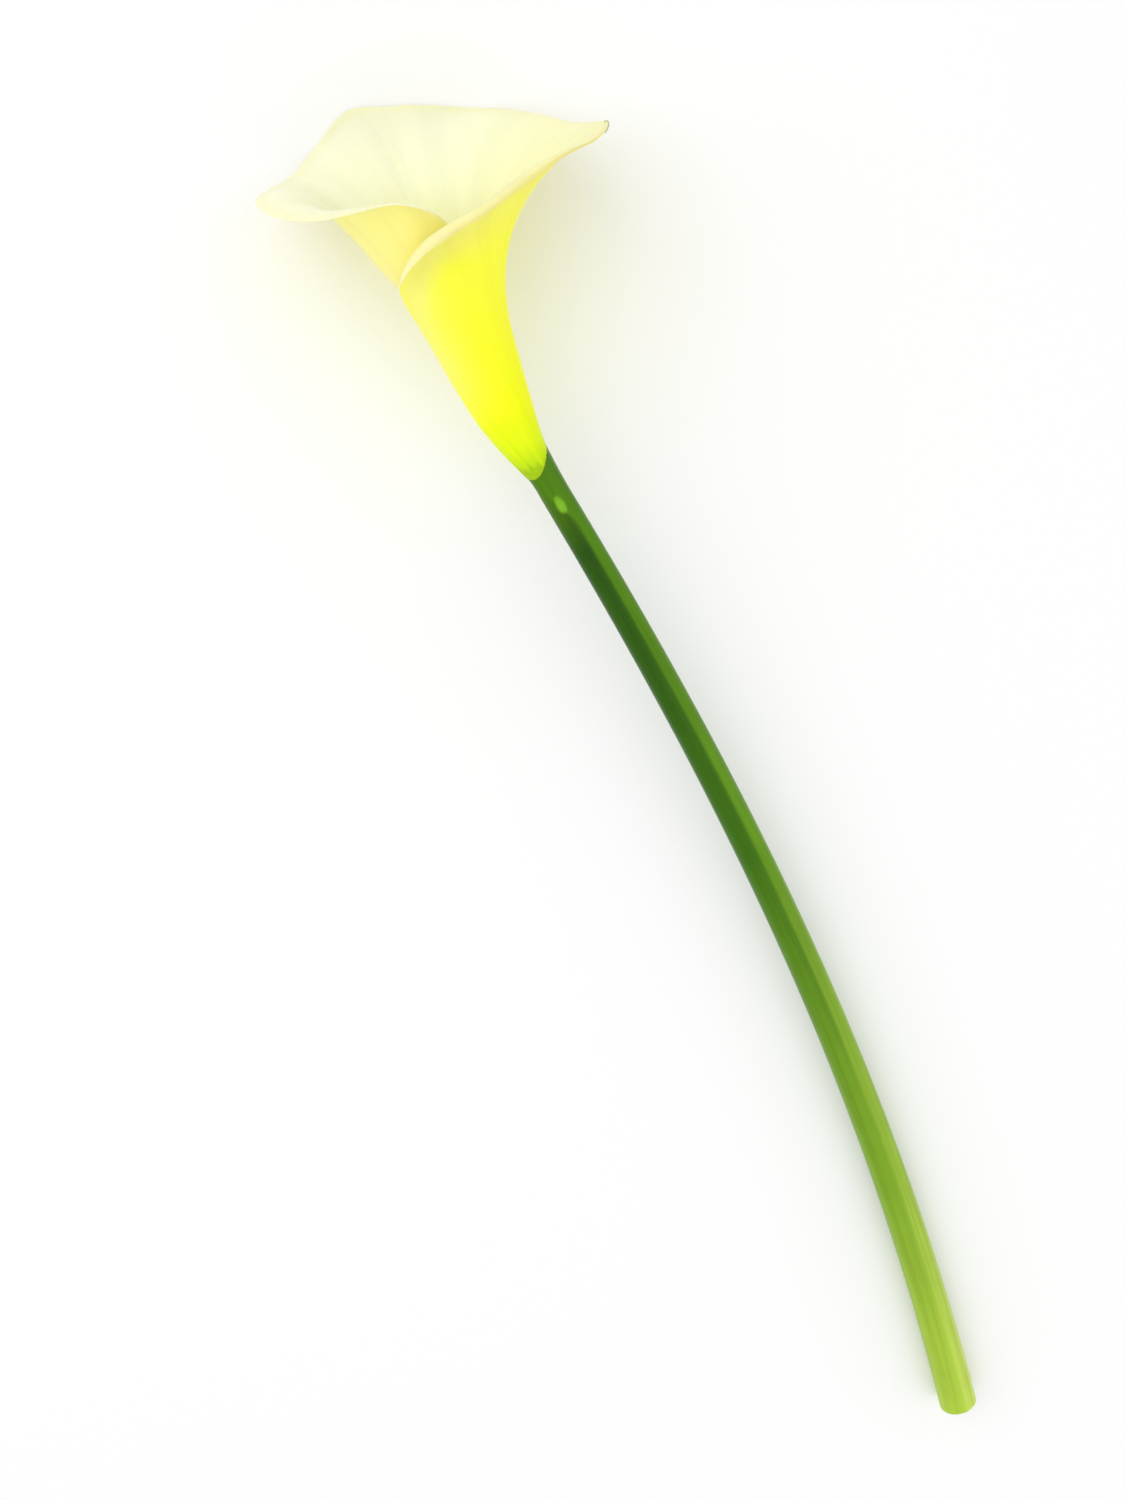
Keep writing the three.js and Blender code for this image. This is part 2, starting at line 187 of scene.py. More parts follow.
def read_table(table, x, column):
    """One column of a table by its first column, as a smooth curve through every row."""
    i = 0
    while i < len(table) - 2 and x > table[i + 1][0]:
        i += 1

    def slope_at(k):
        before = table[max(k - 1, 0)]
        after = table[min(k + 1, len(table) - 1)]
        return (after[column] - before[column]) / (after[0] - before[0])

    span = table[i + 1][0] - table[i][0]
    share = min(max((x - table[i][0]) / span, 0), 1)
    rise = table[i + 1][column] - table[i][column]
    start_bend = slope_at(i) * span - rise
    end_bend = rise - slope_at(i + 1) * span
    bend = (1 - share) * start_bend + share * end_bend
    return table[i][column] + share * rise + share * (1 - share) * bend


def in_flower(radius, angle, height):
    """The place of a point round the funnel's axis. Angle 0 is the tip's side."""
    shift = FOOT_SHIFT * math.exp((FOOT_SHIFT_START - height) / FOOT_SHIFT_FADE)
    side = radius * math.cos(math.radians(angle)) + shift
    lift = radius * math.sin(math.radians(angle))
    along = height * math.cos(AXIS_TILT) - lift * math.sin(AXIS_TILT)
    up = height * math.sin(AXIS_TILT) + lift * math.cos(AXIS_TILT)
    return SPATHE_FOOT + Vector((along, -side, up)) * MM


def foot_height(angle):
    return FOOT_MID_HEIGHT + FOOT_SLANT * math.cos(math.radians(angle - FOOT_SLANT_ANGLE))


def fanned_angle(edge_angle, height):
    """Where a lengthwise line of the sheet has turned to: they fan out from the foot."""
    return edge_angle * lerp(FOOT_NARROWING, 1, smooth(0, FANNED_BY_HEIGHT, height))


def tube_radius(edge_angle, height):
    """The tube's radius, which grows as the sheet rolls over itself."""
    step = lerp(FOOT_ROLL_STEP, ROLL_STEP, smooth(0, FOOT_ROLL_HEIGHT, height))
    rolled = step * fanned_angle(edge_angle, height) / 360
    return read_table(TUBE, height, TUBE_RADIUS) + rolled


def sheet_line(edge_angle):
    """One lengthwise line of the sheet: up the tube, out along the flare and over the curled lip.

    Each row gives the radius, the height, the share of the flare and the way left to the margin."""
    edge_radius, edge_height, edge_turn, flare, curl = (
        read_table(EDGE, edge_angle, column) for column in range(EDGE_RADIUS, len(EDGE[0]))
    )
    foot = foot_height(edge_angle * FOOT_NARROWING) - ROOT_DEPTH
    throat = max(edge_height - flare, foot + LEAST_TUBE_LENGTH)
    throat_radius = tube_radius(edge_angle, throat)
    throat_slope = tube_radius(edge_angle, throat + 0.5) - tube_radius(edge_angle, throat - 0.5)
    reach = math.hypot(edge_radius - throat_radius, edge_height - throat)
    leaving = FLARE_PULL * reach
    arriving = EDGE_PULL * reach
    turn = math.radians(edge_turn)
    u = np.linspace(0, 1, CURVE_STEPS)
    radii = swept(u, throat_radius, leaving * throat_slope, edge_radius, arriving * math.sin(turn))
    heights = swept(u, throat, leaving, edge_height, arriving * math.cos(turn))
    curled = turn + math.radians(max(curl, 0)) * np.linspace(0, 1, LIP_STEPS)[1:]
    radii = np.append(radii, edge_radius + LIP_RADIUS * (math.cos(turn) - np.cos(curled)))
    heights = np.append(heights, edge_height + LIP_RADIUS * (np.sin(curled) - math.sin(turn)))
    lengths = running_lengths(radii, heights)
    crest = lengths[CURVE_STEPS - 1]
    line = []
    for height in np.linspace(foot, throat, TUBE_ROWS, endpoint=False):
        line.append((tube_radius(edge_angle, height), height, 0, lengths[-1] + throat - height))
    for run in np.linspace(0, lengths[-1], FLARE_ROWS):
        radius = np.interp(run, lengths, radii)
        height = np.interp(run, lengths, heights)
        line.append((radius, height, min(run / crest, 1), lengths[-1] - run))
    return line


def column_angles(count):
    """The sheet's columns, evenly spaced along its edge, and closer together near the tip."""
    angles = np.arange(EDGE[0][0], EDGE[-1][0] + ANGLE_STEP, ANGLE_STEP)
    edge = np.array([
        in_flower(read_table(EDGE, angle, EDGE_RADIUS), angle, read_table(EDGE, angle, EDGE_HEIGHT))
        for angle in angles
    ])
    steps = np.linalg.norm(np.diff(edge, axis=0), axis=1)
    steps *= np.where(np.abs(angles[1:]) < TIP_HALF_ANGLE, TIP_FINENESS, 1.0)
    lengths = np.concatenate([[0], np.cumsum(steps)])
    return np.interp(np.linspace(0, lengths[-1], count), lengths, angles)


def rest_on_table(point, half_thickness):
    """Lifts what would sink through the table, with a soft start and a slightly arched flat."""
    soft = REST_SOFTNESS * MM
    across = (point.y / MM - REST_ARCH_MIDDLE) / REST_ARCH_HALF
    least = half_thickness + REST_ARCH_RISE * max(1 - across**2, 0) * MM
    depth = point.z - least
    if depth < -soft:
        point.z = least
    elif depth < soft:
        point.z = least + (depth + soft) ** 2 / (4 * soft)


def fold_depth(edge_angle, flare, height):
    """How far the folds and the finer unevenness move the sheet."""
    depth = 0
    for angle, width, deep in FOLDS:
        depth += deep * math.exp(-(((edge_angle - angle) / width) ** 2))
    grown = smooth(*FOLDS_GROW, flare) * (1 - FLATTENED_BY * smooth(*FOLDS_FLATTEN, flare))
    spot = Vector((edge_angle / UNEVEN_ANGLE, height / UNEVEN_HEIGHT, UNEVEN_SEED))
    return depth * grown + UNEVEN_DEPTH * noise.noise(spot)


def grid_piece(name, columns, rows):
    """A new flat grid of quads, with its UV map, to be wrapped into a shape."""
    bpy.ops.mesh.primitive_grid_add(x_subdivisions=columns - 1, y_subdivisions=rows - 1, size=1)
    piece = bpy.context.object
    piece.name = name
    return piece


def set_places(piece, places):
    piece.data.vertices.foreach_set("co", np.asarray(places, np.float32).ravel())
    piece.data.update()


def set_attribute(piece, name, values):
    layer = piece.data.attributes.new(name, "FLOAT", "POINT")
    layer.data.foreach_set("value", np.asarray(values, np.float32).ravel())


def apply_modifier(piece, name, kind, **settings):
    """Adds a modifier with its settings to a piece and applies it."""
    bpy.context.view_layer.objects.active = piece
    modifier = piece.modifiers.new(name, kind)
    for setting, value in settings.items():
        setattr(modifier, setting, value)
    bpy.ops.object.modifier_apply(modifier=modifier.name)


spathe = grid_piece("spathe_sheet", SHEET_COLUMNS, SHEET_ROWS)
sheet_angles = column_angles(SHEET_COLUMNS)
sheet_lines = np.array([sheet_line(angle) for angle in sheet_angles])
middle = np.array([
    [in_flower(radius, fanned_angle(angle, height), height) for radius, height, _, _ in line]
    for angle, line in zip(sheet_angles, sheet_lines)
])
inward = np.cross(np.gradient(middle, axis=0), np.gradient(middle, axis=1))
inward /= np.linalg.norm(inward, axis=2)[:, :, None]
for i, (angle, line) in enumerate(zip(sheet_angles, sheet_lines)):
    for j, (_, height, flare, _) in enumerate(line):
        place = Vector(middle[i, j] + inward[i, j] * fold_depth(angle, flare, height) * MM)
        rest_on_table(place, SHEET_THICKNESS / 2 * MM)
        middle[i, j] = place
set_places(spathe, middle.transpose(1, 0, 2))
set_attribute(spathe, "rise", sheet_lines[:, :, 1].T / MAPPED_LENGTH)
set_attribute(spathe, "flare", sheet_lines[:, :, 2].T)
set_attribute(spathe, "margin", sheet_lines[:, :, 3].T / MAPPED_LENGTH)
set_attribute(spathe, "round", np.repeat(sheet_angles[None, :], SHEET_ROWS, axis=0) / 360)
thickness = spathe.vertex_groups.new(name="thickness")
for j in range(SHEET_ROWS):
    row = list(range(j * SHEET_COLUMNS, (j + 1) * SHEET_COLUMNS))
    thinned = smooth(TUBE_ROWS, SHEET_ROWS, j)
    thickness.add(row, lerp(1, RIM_THICKNESS / SHEET_THICKNESS, thinned), "REPLACE")


def srgb(red, green, blue):
    """A colour given as 0 to 255, as linear RGBA."""
    shares = [channel / 255 for channel in (red, green, blue)]
    return tuple(s / 12.92 if s <= 0.04045 else ((s + 0.055) / 1.055) ** 2.4 for s in shares) + (1,)


def new_node(tree, kind, inputs=None, **settings):
    """A shader node with its settings, and its inputs set to a value or linked to a socket."""
    node = tree.nodes.new("ShaderNode" + kind)
    for name, value in settings.items():
        setattr(node, name, value)
    for name, value in (inputs or {}).items():
        if isinstance(value, bpy.types.NodeSocket):
            tree.links.new(value, node.inputs[name])
        else:
            node.inputs[name].default_value = value
    return node


def attribute(tree, name):
    return new_node(tree, "Attribute", attribute_name=name).outputs["Fac"]


def ranged(tree, value, low, high, to_low=0.0, to_high=1.0):
    """A value carried smoothly from one range to another."""
    node = new_node(tree, "MapRange", {
        "Value": value, "From Min": low, "From Max": high, "To Min": to_low, "To Max": to_high,
    }, interpolation_type="SMOOTHSTEP")
    return node.outputs["Result"]


def calculated(tree, operation, first, second):
    return new_node(tree, "Math", {0: first, 1: second}, operation=operation).outputs[0]


def colour_ramp(tree, share, stops):
    """A colour that goes through the stops, each a place and a colour."""
    ramp = new_node(tree, "ValToRGB", {"Fac": share})
    elements = ramp.color_ramp.elements
    elements[0].position = stops[0][0]
    elements[1].position = stops[-1][0]
    for place, _ in stops[1:-1]:
        elements.new(place)
    for element, (_, colour) in zip(elements, stops):
        element.color = srgb(*colour)
    return ramp.outputs["Color"]


def mixed(tree, share, first, second, blend="MIX"):
    """Two colours mixed by a share. A Mix node's colours are its inputs 6 and 7 and output 2."""
    node = tree.nodes.new("ShaderNodeMix")
    node.data_type = "RGBA"
    node.blend_type = blend
    node.clamp_result = True
    for index, value in ((0, share), (6, first), (7, second)):
        if isinstance(value, bpy.types.NodeSocket):
            tree.links.new(value, node.inputs[index])
        else:
            node.inputs[index].default_value = value
    return node.outputs[2]


def new_group(name, inputs, outputs):
    """An empty shader node group with number sockets."""
    group = bpy.data.node_groups.new(name, "ShaderNodeTree")
    for label, value in inputs:
        socket = group.interface.new_socket(label, in_out="INPUT", socket_type="NodeSocketFloat")
        socket.default_value = value
    for label in outputs:
        group.interface.new_socket(label, in_out="OUTPUT", socket_type="NodeSocketFloat")
    return group, group.nodes.new("NodeGroupInput"), group.nodes.new("NodeGroupOutput")


def make_streaks():
    """Veins and streaks that run lengthwise along a piece's UV map.

    Fine is a height for bump and Broad a slow mask for colour."""
    counts = (("Fine Count", 150.0), ("Broad Count", 20.0), ("Lengths", 1.5))
    group, entry, leave = new_group("lengthwise streaks", counts, ("Fine", "Broad"))
    uv = new_node(group, "UVMap").outputs["UV"]
    for name in ("Fine", "Broad"):
        across = entry.outputs[name + " Count"]
        spread = new_node(group, "CombineXYZ", {"X": across, "Y": entry.outputs["Lengths"]})
        scaled = new_node(group, "VectorMath", {0: uv, 1: spread.outputs[0]}, operation="MULTIPLY")
        streak = new_node(group, "TexNoise", {
            "Vector": scaled.outputs[0], "Scale": 1.0, "Detail": 3.0, "Roughness": 0.55,
        }, noise_dimensions="2D")
        group.links.new(streak.outputs["Fac"], leave.inputs[name])
    return group


def make_cell_grain():
    """The fine grain of plant skin as a height for bump, and slow blotches as a colour mask."""
    sizes = (("Cells per Metre", 1500.0), ("Blotches per Metre", 60.0))
    group, entry, leave = new_group("cell grain", sizes, ("Cells", "Blotches"))
    place = new_node(group, "TexCoord").outputs["Object"]
    cells = new_node(group, "TexNoise", {
        "Vector": place, "Scale": entry.outputs["Cells per Metre"], "Detail": 2.0,
    })
    blotches = new_node(group, "TexNoise", {
        "Vector": place, "Scale": entry.outputs["Blotches per Metre"], "Detail": 2.0,
        "Roughness": 0.6,
    })
    group.links.new(cells.outputs["Fac"], leave.inputs["Cells"])
    group.links.new(blotches.outputs["Fac"], leave.inputs["Blotches"])
    return group


streaks = make_streaks()
cell_grain = make_cell_grain()


def streaked(tree, fine, broad, lengths):
    """The fine and the broad streaks, by how many lie across a piece and along it."""
    counts = {"Fine Count": fine, "Broad Count": broad, "Lengths": lengths}
    node = new_node(tree, "Group", counts, node_tree=streaks)
    return node.outputs["Fine"], node.outputs["Broad"]


def grained(tree, cells, blotches):
    """The cells and the blotches, by how many lie along a metre."""
    sizes = {"Cells per Metre": cells, "Blotches per Metre": blotches}
    node = new_node(tree, "Group", sizes, node_tree=cell_grain)
    return node.outputs["Cells"], node.outputs["Blotches"]


# The ranges that most and nearly all of a noise's values lie in.
NOISE_MIDDLE = (0.35, 0.65)
NOISE_SPREAD = (0.3, 0.7)
SCATTER_DEPTH = 1.5


def living_skin(name, roughness, specular, scatter, scatter_radius):
    """A new material of moist plant skin, with a little light scattered under it."""
    material = bpy.data.materials.new(name)
    material.use_nodes = True
    skin = material.node_tree.nodes["Principled BSDF"]
    skin.inputs["Roughness"].default_value = roughness
    skin.inputs["Specular IOR Level"].default_value = specular
    skin.inputs["Subsurface Weight"].default_value = scatter
    skin.inputs["Subsurface Radius"].default_value = scatter_radius
    skin.inputs["Subsurface Scale"].default_value = SCATTER_DEPTH * MM
    return material, material.node_tree, skin


def shaded(tree, colour, streak, streak_shade, blotch, blotch_shade):
    """A colour that streaks and blotches darken, each down to a share of its brightness."""
    in_streaks = ranged(tree, streak, *NOISE_MIDDLE, streak_shade, 1.0)
    in_blotches = ranged(tree, blotch, *NOISE_MIDDLE, blotch_shade, 1.0)
    shade = calculated(tree, "MULTIPLY", in_streaks, in_blotches)
    return mixed(tree, 1.0, colour, shade, "MULTIPLY")


def finish_skin(tree, skin, colour, bumps):
    """Gives a skin its colour and its bumps, each a height, a strength and a depth."""
    below = None
    for height, strength, depth in bumps:
        inputs = {"Height": height, "Strength": strength, "Distance": depth * MM}
        if below:
            inputs["Normal"] = below
        below = new_node(tree, "Bump", inputs).outputs[0]
    tree.links.new(below, skin.inputs["Normal"])
    tree.links.new(colour, skin.inputs["Base Color"])


# The foot's own colours give way to the tints over this range of the sheet's height. Its green
# runs up along the veins by the reach. The outer margin's lip begins past the tip and changes
# again towards its end, over these shares of a full turn. A bump is a strength and a depth, and a
# shade the share of its brightness that a colour is darkened to.
ABOVE_FOOT = (0.12, 0.4)
VEIN_REACH = 0.008
PAST_TIP = (-0.015, 0.045)
LIP_END = (0.18, 0.33)
VEIN_BUMP = (0.22, 0.15)
VEIN_SHADE = 0.965
PETAL_GRAIN_BUMP = (0.1, 0.1)
PETAL_BLOTCH_SHADE = 0.985
PETAL_ROUGHNESS = (0.42, 0.52)


def petal_material(name, by_height, tints):
    """Waxy petal skin: green at the foot to yellow and cream up the sheet, streaked by its veins.

    Over the ramp by height lie the tints, one on another. Each has a strength, and the range of
    each attribute that it comes in over."""
    material, tree, skin = living_skin(
        name, roughness=0.46, specular=0.18, scatter=0.3, scatter_radius=(1.0, 0.9, 0.35),
    )
    fine_veins, veins = streaked(tree, fine=240.0, broad=34.0, lengths=1.2)
    cells, blotches = grained(tree, cells=1500.0, blotches=45.0)
    sheet = {label: attribute(tree, label) for label in ("rise", "flare", "margin", "round")}
    reach = ranged(tree, veins, *NOISE_SPREAD, -VEIN_REACH, VEIN_REACH)
    colour = colour_ramp(tree, calculated(tree, "ADD", sheet["rise"], reach), by_height)
    for label, (tint, strength, ranges) in tints.items():
        share = ranged(tree, sheet["rise"], *ABOVE_FOOT, 0.0, strength)
        for measure, (start, full) in ranges.items():
            within = ranged(tree, sheet[measure], start, full)
            share = calculated(tree, "MULTIPLY", share, within)
        colour = mixed(tree, share, colour, srgb(*tint))
        colour.node.label = label
    colour = shaded(tree, colour, veins, VEIN_SHADE, blotches, PETAL_BLOTCH_SHADE)
    finish_skin(tree, skin, colour, ((fine_veins, *VEIN_BUMP), (cells, *PETAL_GRAIN_BUMP)))
    roughness = ranged(tree, veins, *NOISE_SPREAD, *PETAL_ROUGHNESS)
    tree.links.new(roughness, skin.inputs["Roughness"])
    return material


spathe_inside = petal_material(
    "spathe inside",
    by_height=(
        (0.1, (200, 224, 30)), (0.25, (226, 238, 70)), (0.42, (246, 248, 124)),
        (0.6, (249, 249, 188)), (0.85, (249, 250, 213)),
    ),
    tints={
        "flare": ((249, 250, 213), 1.0, {"flare": (0.2, 0.75)}),
        "tip's side": ((244, 243, 190), 1.0, {"round": (-0.2, 0.02)}),
        # The rim's beige is partly its own colour and partly painted shade, darker where the edge
        # curls down.
        "rim": ((243, 239, 191), 0.6, {"margin": (0.05, 0.0)}),
        "lip": ((244, 237, 172), 1.0, {"round": PAST_TIP, "margin": (0.1, 0.025)}),
        # Painted shade: the last of the lip, tucked under its crest, darkened to ochre.
        "painted shade at the lip's margin": ((233, 222, 138), 1.0, {"round": PAST_TIP, "margin": (0.02, 0.0)}),
        "lip's end": ((252, 243, 184), 1.0, {"round": LIP_END, "margin": (0.03, 0.0)}),
    },
)
spathe_outside = petal_material(
    "spathe outside",
    by_height=(
        (0.0, (164, 200, 0)), (0.02, (194, 228, 0)), (0.07, (224, 246, 0)), (0.18, (248, 255, 0)),
        (0.4, (255, 255, 44)), (0.62, (255, 255, 70)),
    ),
    tints={
        # The flare's ochre is partly the sheet's own colour and partly painted shade, where the
        # flaring sheet faces down under the mouth.
        "flare": ((247, 238, 120), 1.0, {"flare": (0.35, 0.85)}),
        "inner turn": ((255, 246, 148), 1.0, {"round": (-0.4, -0.52)}),
        "rim": ((252, 246, 190), 0.6, {"margin": (0.03, 0.0)}),
        # Painted shade under the outer margin's curled lip: a soft ochre that fades down the tube
        # below it.
        "painted shade under the lip": ((250, 244, 122), 1.0, {"round": PAST_TIP, "margin": (0.19, 0.08)}),
        # Painted shadow: the darker ochre band just under the curled lip. At the lip's end both
        # painted shades give way to a paler colour.
        "lip": ((230, 220, 110), 1.0, {"round": PAST_TIP, "margin": (0.11, 0.045)}),
        "lip's end": ((255, 247, 140), 1.0, {"round": LIP_END, "margin": (0.15, 0.05)}),
        "outer turn": ((255, 252, 112), 1.0, {"round": (0.22, 0.48)}),
    },
)
spathe.data.materials.append(spathe_inside)
spathe.data.materials.append(spathe_outside)
apply_modifier(
    spathe, "sheet thickness", "SOLIDIFY",
    thickness=SHEET_THICKNESS * MM, offset=0, vertex_group="thickness", material_offset=1,
)
apply_modifier(
    spathe, "rounded edge", "BEVEL",
    width=EDGE_ROUNDING * MM, segments=EDGE_ROUNDING_STEPS,
    limit_method="ANGLE", angle_limit=math.radians(SHARP_FROM_ANGLE),
)
bpy.ops.object.shade_smooth()

# The sheet narrows at the tip into a small grey-green claw, which hooks down and back. Its line
# is given as radius, height and half thickness, and its ends as radius and height.
CLAW_LINE = (
    (52.5, 76.75, 0.24), (53.0, 76.65, 0.34), (53.2, 76.2, 0.4), (52.95, 75.6, 0.42),
    (52.5, 75.0, 0.42), (52.0, 74.5, 0.38), (51.5, 74.05, 0.28),
)
CLAW_ENDS = ((52.2, 76.7), (51.3, 73.85))
CLAW_SIDES = 14
CLAW_DARK = (168, 176, 130)
CLAW_LIGHT = (212, 218, 186)
CLAW_BUMP = (0.3, 0.12)
WELD_DISTANCE = 0.001


def wrapped_piece(name, rings, attributes=None):
    """A closed piece skinned over rings of places, from pole to pole, all with as many places."""
    piece = grid_piece(name, len(rings[0]) + 1, len(rings))
    set_places(piece, [list(ring) + [ring[0]] for ring in rings])
    for label, values in (attributes or {}).items():
        set_attribute(piece, label, [list(row) + [row[0]] for row in values])
    bpy.ops.object.mode_set(mode="EDIT")
    bpy.ops.mesh.select_all(action="SELECT")
    bpy.ops.mesh.remove_doubles(threshold=WELD_DISTANCE * MM)
    bpy.ops.mesh.normals_make_consistent(inside=False)
    bpy.ops.object.mode_set(mode="OBJECT")
    bpy.ops.object.shade_smooth()
    return piece


def claw_rings():
    """Rings of places along the claw, from the end that is set in the sheet to the free one."""
    line = [in_flower(radius, 0, height) for radius, height, _ in CLAW_LINE]
    start, end = (in_flower(radius, 0, height) for radius, height in CLAW_ENDS)
    upward = in_flower(1, UPWARD, 0) - in_flower(0, UPWARD, 0)
    turns = [2 * math.pi * i / CLAW_SIDES for i in range(CLAW_SIDES)]
    rings = [[start] * CLAW_SIDES]
    places = [start, *line, end]
    for before, centre, after, (_, _, thick) in zip(places, places[1:], places[2:], CLAW_LINE):
        along = (after - before).normalized()
        across = along.cross(upward).normalized()
        flat = across.cross(along).normalized()
        ring = [across * math.cos(turn) + flat * math.sin(turn) for turn in turns]
        rings.append([centre + outward * thick * MM for outward in ring])
    rings.append([end] * CLAW_SIDES)
    return rings


def claw_material():
    """Dry greyish skin, mottled with dull green."""
    material, tree, skin = living_skin(
        "tip claw", roughness=0.5, specular=0.5, scatter=0.2, scatter_radius=(0.6, 0.8, 0.4),
    )
    cells, blotches = grained(tree, cells=1800.0, blotches=500.0)
    pale = ranged(tree, blotches, *NOISE_MIDDLE)
    colour = mixed(tree, pale, srgb(*CLAW_DARK), srgb(*CLAW_LIGHT))
    finish_skin(tree, skin, colour, ((cells, *CLAW_BUMP),))
    return material


def join_onto(piece, parts):
    """Joins parts to a piece, which keeps its own name."""
    bpy.ops.object.select_all(action="DESELECT")
    for part in (piece, *parts):
        part.select_set(True)
    bpy.context.view_layer.objects.active = piece
    bpy.ops.object.join()


claw = wrapped_piece("tip_claw", claw_rings())
apply_modifier(claw, "rounder", "SUBSURF", levels=1, render_levels=1)
claw.data.materials.append(claw_material())
join_onto(spathe, [claw])
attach(spathe, "root")
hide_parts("spathe")
bpy.ops.object.select_all(action="DESELECT")

# Spadix, upper zone: a fleshy rod crowded with tiny golden anthers, which shed pollen, so that it
# looks dry and grainy. The rod grows on from the zone below it and ends in a blunt round tip.
POLLEN_BOTTOM = 21.3
POLLEN_TOP = 57.7
POLLEN_RADIUS = 3.72
POLLEN_TIP_LENGTH = 7.5
POLLEN_TIP_FULLNESS = 2.6
POLLEN_STEPS = 300
CORE_SINK = 0.22
CORE_SIDES = 32
CORE_ROWS = 40
ANTHER_RADIUS = 0.6
ANTHER_WIDTH = 0.92
ANTHER_DEPTH = 0.8
ANTHER_SPACING = 1.07
ANTHER_ROWS_APART = 0.93
ANTHER_JITTER = 0.07
ANTHER_SIDES = 8
ANTHER_RINGS = 5
ANTHER_DARK = (226, 160, 22)
ANTHER_LIGHT = (252, 214, 70)
ANTHER_BUMP = (0.8, 0.12)
# Painted shade in the gaps: the anthers darken to brown towards their feet, and the rod between
# them takes the same brown, which is partly its own darker colour.
ANTHER_GAP_SHADE = (178, 112, 10)
ANTHER_GAP_SHADE_REACH = (0.7, -0.2)
ANTHER_GAP_SHADE_SHARE = 0.75
POLLEN_DUST = (254, 228, 110)
POLLEN_DUST_RANGE = (0.5, 0.75)
POLLEN_DUST_SHARE = 0.5
POLLEN_SHEEN = 0.25

# How both zones' florets vary, and the jitter's turn round the rod. Their slope is read over the
# reach, and one that points nearly up the rod takes its side from the world.
RANDOM_SEED = 7
FLORET_SIZES = (0.9, 1.08)
FLORET_TONES = (0.15, 1)
JITTER_DEGREES = 57
LEAST_JITTER_RADIUS = 0.5
OUTLINE_REACH = 0.2
NEARLY_IN_LINE = 0.99


def pollen_outline():
    """Radii and heights up the rod and over its round tip."""
    heights = np.linspace(POLLEN_BOTTOM, POLLEN_TOP, POLLEN_STEPS)
    tip = np.clip((heights - (POLLEN_TOP - POLLEN_TIP_LENGTH)) / POLLEN_TIP_LENGTH, 0, 1)
    return POLLEN_RADIUS * np.sqrt(1 - tip**POLLEN_TIP_FULLNESS), heights


def on_outline(outline, run):
    """The radius and the height at a distance along a zone's outline."""
    lengths = running_lengths(*outline)
    return [np.interp(run, lengths, values) for values in outline]


def make_core(name, outline):
    """The plain rod that a zone's florets stand on, closed at both ends."""
    bottom, top = outline[1][0], outline[1][-1]
    rings = [[in_flower(0, 0, bottom)] * CORE_SIDES]
    for run in np.linspace(0, running_lengths(*outline)[-1], CORE_ROWS):
        radius, height = on_outline(outline, run)
        radius = max(radius - CORE_SINK, 0)
        rings.append([in_flower(radius, 360 * i / CORE_SIDES, height) for i in range(CORE_SIDES)])
    rings.append([in_flower(0, 0, top)] * CORE_SIDES)
    core = wrapped_piece(name, rings)
    set_attribute(core, "tone", [0.0] * len(core.data.vertices))
    set_attribute(core, "reach", [0.0] * len(core.data.vertices))
    return core


def set_reach(floret, radius):
    """How far out each place of a floret stands, as a share of its radius."""
    reach = [vertex.co.z / (radius * MM) for vertex in floret.data.vertices]
    set_attribute(floret, "reach", reach)


def standing_square(radius, angle, height, up_radius, up_height):
    """The turn that stands a floret square to an outline that rises by the last two."""
    here = in_flower(radius, angle, height)
    outward = (in_flower(radius + up_height, angle, height - up_radius) - here).normalized()
    along = (in_flower(radius, angle, height + 1) - here).normalized()
    across = Vector((0, 1, 0))
    if abs(along.dot(outward)) < NEARLY_IN_LINE:
        across = along.cross(outward).normalized()
    along = outward.cross(across).normalized()
    return Matrix((along.cross(outward), along, outward)).transposed().to_4x4()


def plant_zone(core, floret, outline, spacing, rows_apart, jitter):
    """Copies a floret all over a zone in alternate rows and joins the copies to its core."""
    length = running_lengths(*outline)[-1]
    rows = max(round(length / rows_apart), 1)
    copies = []
    for k in range(rows):
        run = length * (k + 0.5) / rows
        radius, height = on_outline(outline, run)
        ahead = on_outline(outline, run + OUTLINE_REACH)
        behind = on_outline(outline, run - OUTLINE_REACH)
        rise = np.subtract(ahead, behind)
        degrees = JITTER_DEGREES / max(radius, LEAST_JITTER_RADIUS)
        count = max(round(2 * math.pi * radius / spacing), 1)
        for i in range(count):
            angle = 360 * (i + 0.5 * (k % 2)) / count + random.uniform(-jitter, jitter) * degrees
            place = in_flower(radius, angle, height + random.uniform(-jitter, jitter))
            size = random.uniform(*FLORET_SIZES)
            turn = standing_square(radius, angle, height, *rise)
            copy = floret.copy()
            copy.data = floret.data.copy()
            copy.data.transform(Matrix.Translation(place) @ turn @ Matrix.Scale(size, 4))
            tone = random.uniform(*FLORET_TONES)
            set_attribute(copy, "tone", [tone] * len(copy.data.vertices))
            bpy.context.collection.objects.link(copy)
            copies.append(copy)
    bpy.data.objects.remove(floret)
    join_onto(core, copies)


